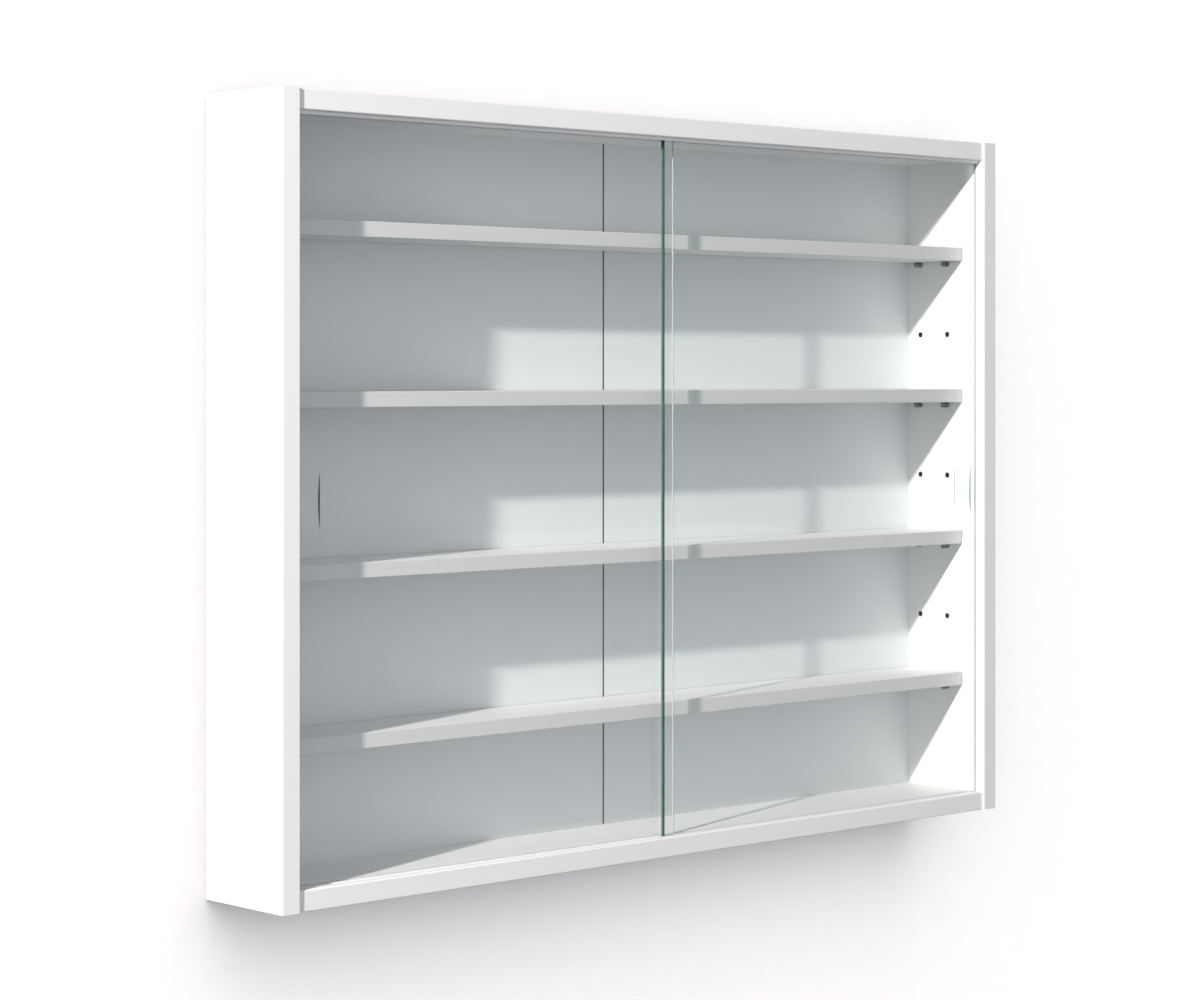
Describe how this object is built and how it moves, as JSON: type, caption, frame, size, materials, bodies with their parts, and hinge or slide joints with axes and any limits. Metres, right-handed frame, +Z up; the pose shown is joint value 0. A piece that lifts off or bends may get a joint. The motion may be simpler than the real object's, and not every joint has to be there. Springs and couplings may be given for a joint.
{
  "type": "wall mounted showcase",
  "caption": "Shallow white wall mounted showcase with adjustable shelves behind two glass panes that slide past each other.",
  "frame": {"origin": "on the wall plane, at the middle of the cabinet's bottom edge", "axes": "+X to the right as seen from the front, +Y back into the wall, +Z up"},
  "size_m": [0.8, 0.095, 0.6],
  "materials": {
    "white_board": "white melamine-faced chipboard, satin",
    "white_edging": "white plastic edging, satin",
    "back_board": "white lacquered hardboard, satin",
    "hinge_tape": "white adhesive paper tape, matte",
    "track_plastic": "white extruded plastic",
    "door_glass": "clear float glass with ground, polished edges",
    "pin_steel": "nickel-plated steel",
    "zinc_casting": "die-cast zinc",
    "steel_fastener": "zinc-plated steel",
    "beech_dowel": "fluted beech",
    "white_cap": "white moulded plastic"
  },
  "bodies": {
    "cabinet": {"left_side": "white_board", "right_side": "white_board", "top_panel": "white_board", "bottom_panel": "white_board", "left_side_edging": "white_edging", "right_side_edging": "white_edging", "top_panel_edging": "white_edging", "bottom_panel_edging": "white_edging", "back_left": "back_board", "back_right": "back_board", "back_hinge_tape": "hinge_tape", "top_track": "track_plastic", "bottom_track": "track_plastic", "shelf_1": "white_board", "shelf_2": "white_board", "shelf_3": "white_board", "shelf_4": "white_board", "shelf_1_edging": "white_edging", "shelf_2_edging": "white_edging", "shelf_3_edging": "white_edging", "shelf_4_edging": "white_edging", "shelf_1_pins": "pin_steel", "shelf_2_pins": "pin_steel", "shelf_3_pins": "pin_steel", "shelf_4_pins": "pin_steel", "cam_bolts": "steel_fastener", "cam_housings": "zinc_casting", "cam_caps": "white_cap", "dowels": "beech_dowel", "back_nails": "steel_fastener", "hanger_plate_left": "steel_fastener", "hanger_plate_right": "steel_fastener", "hanger_screws": "steel_fastener"},
    "left_door": {"left_door_glass": "door_glass"},
    "right_door": {"right_door_glass": "door_glass"}
  },
  "joints": [
    {"name": "left_door_slide", "type": "slide", "parent": "cabinet", "child": "left_door", "axis": [1, 0, 0], "range_m": [0, 0.376]},
    {"name": "right_door_slide", "type": "slide", "parent": "cabinet", "child": "right_door", "axis": [-1, 0, 0], "range_m": [0, 0.376]}
  ]
}
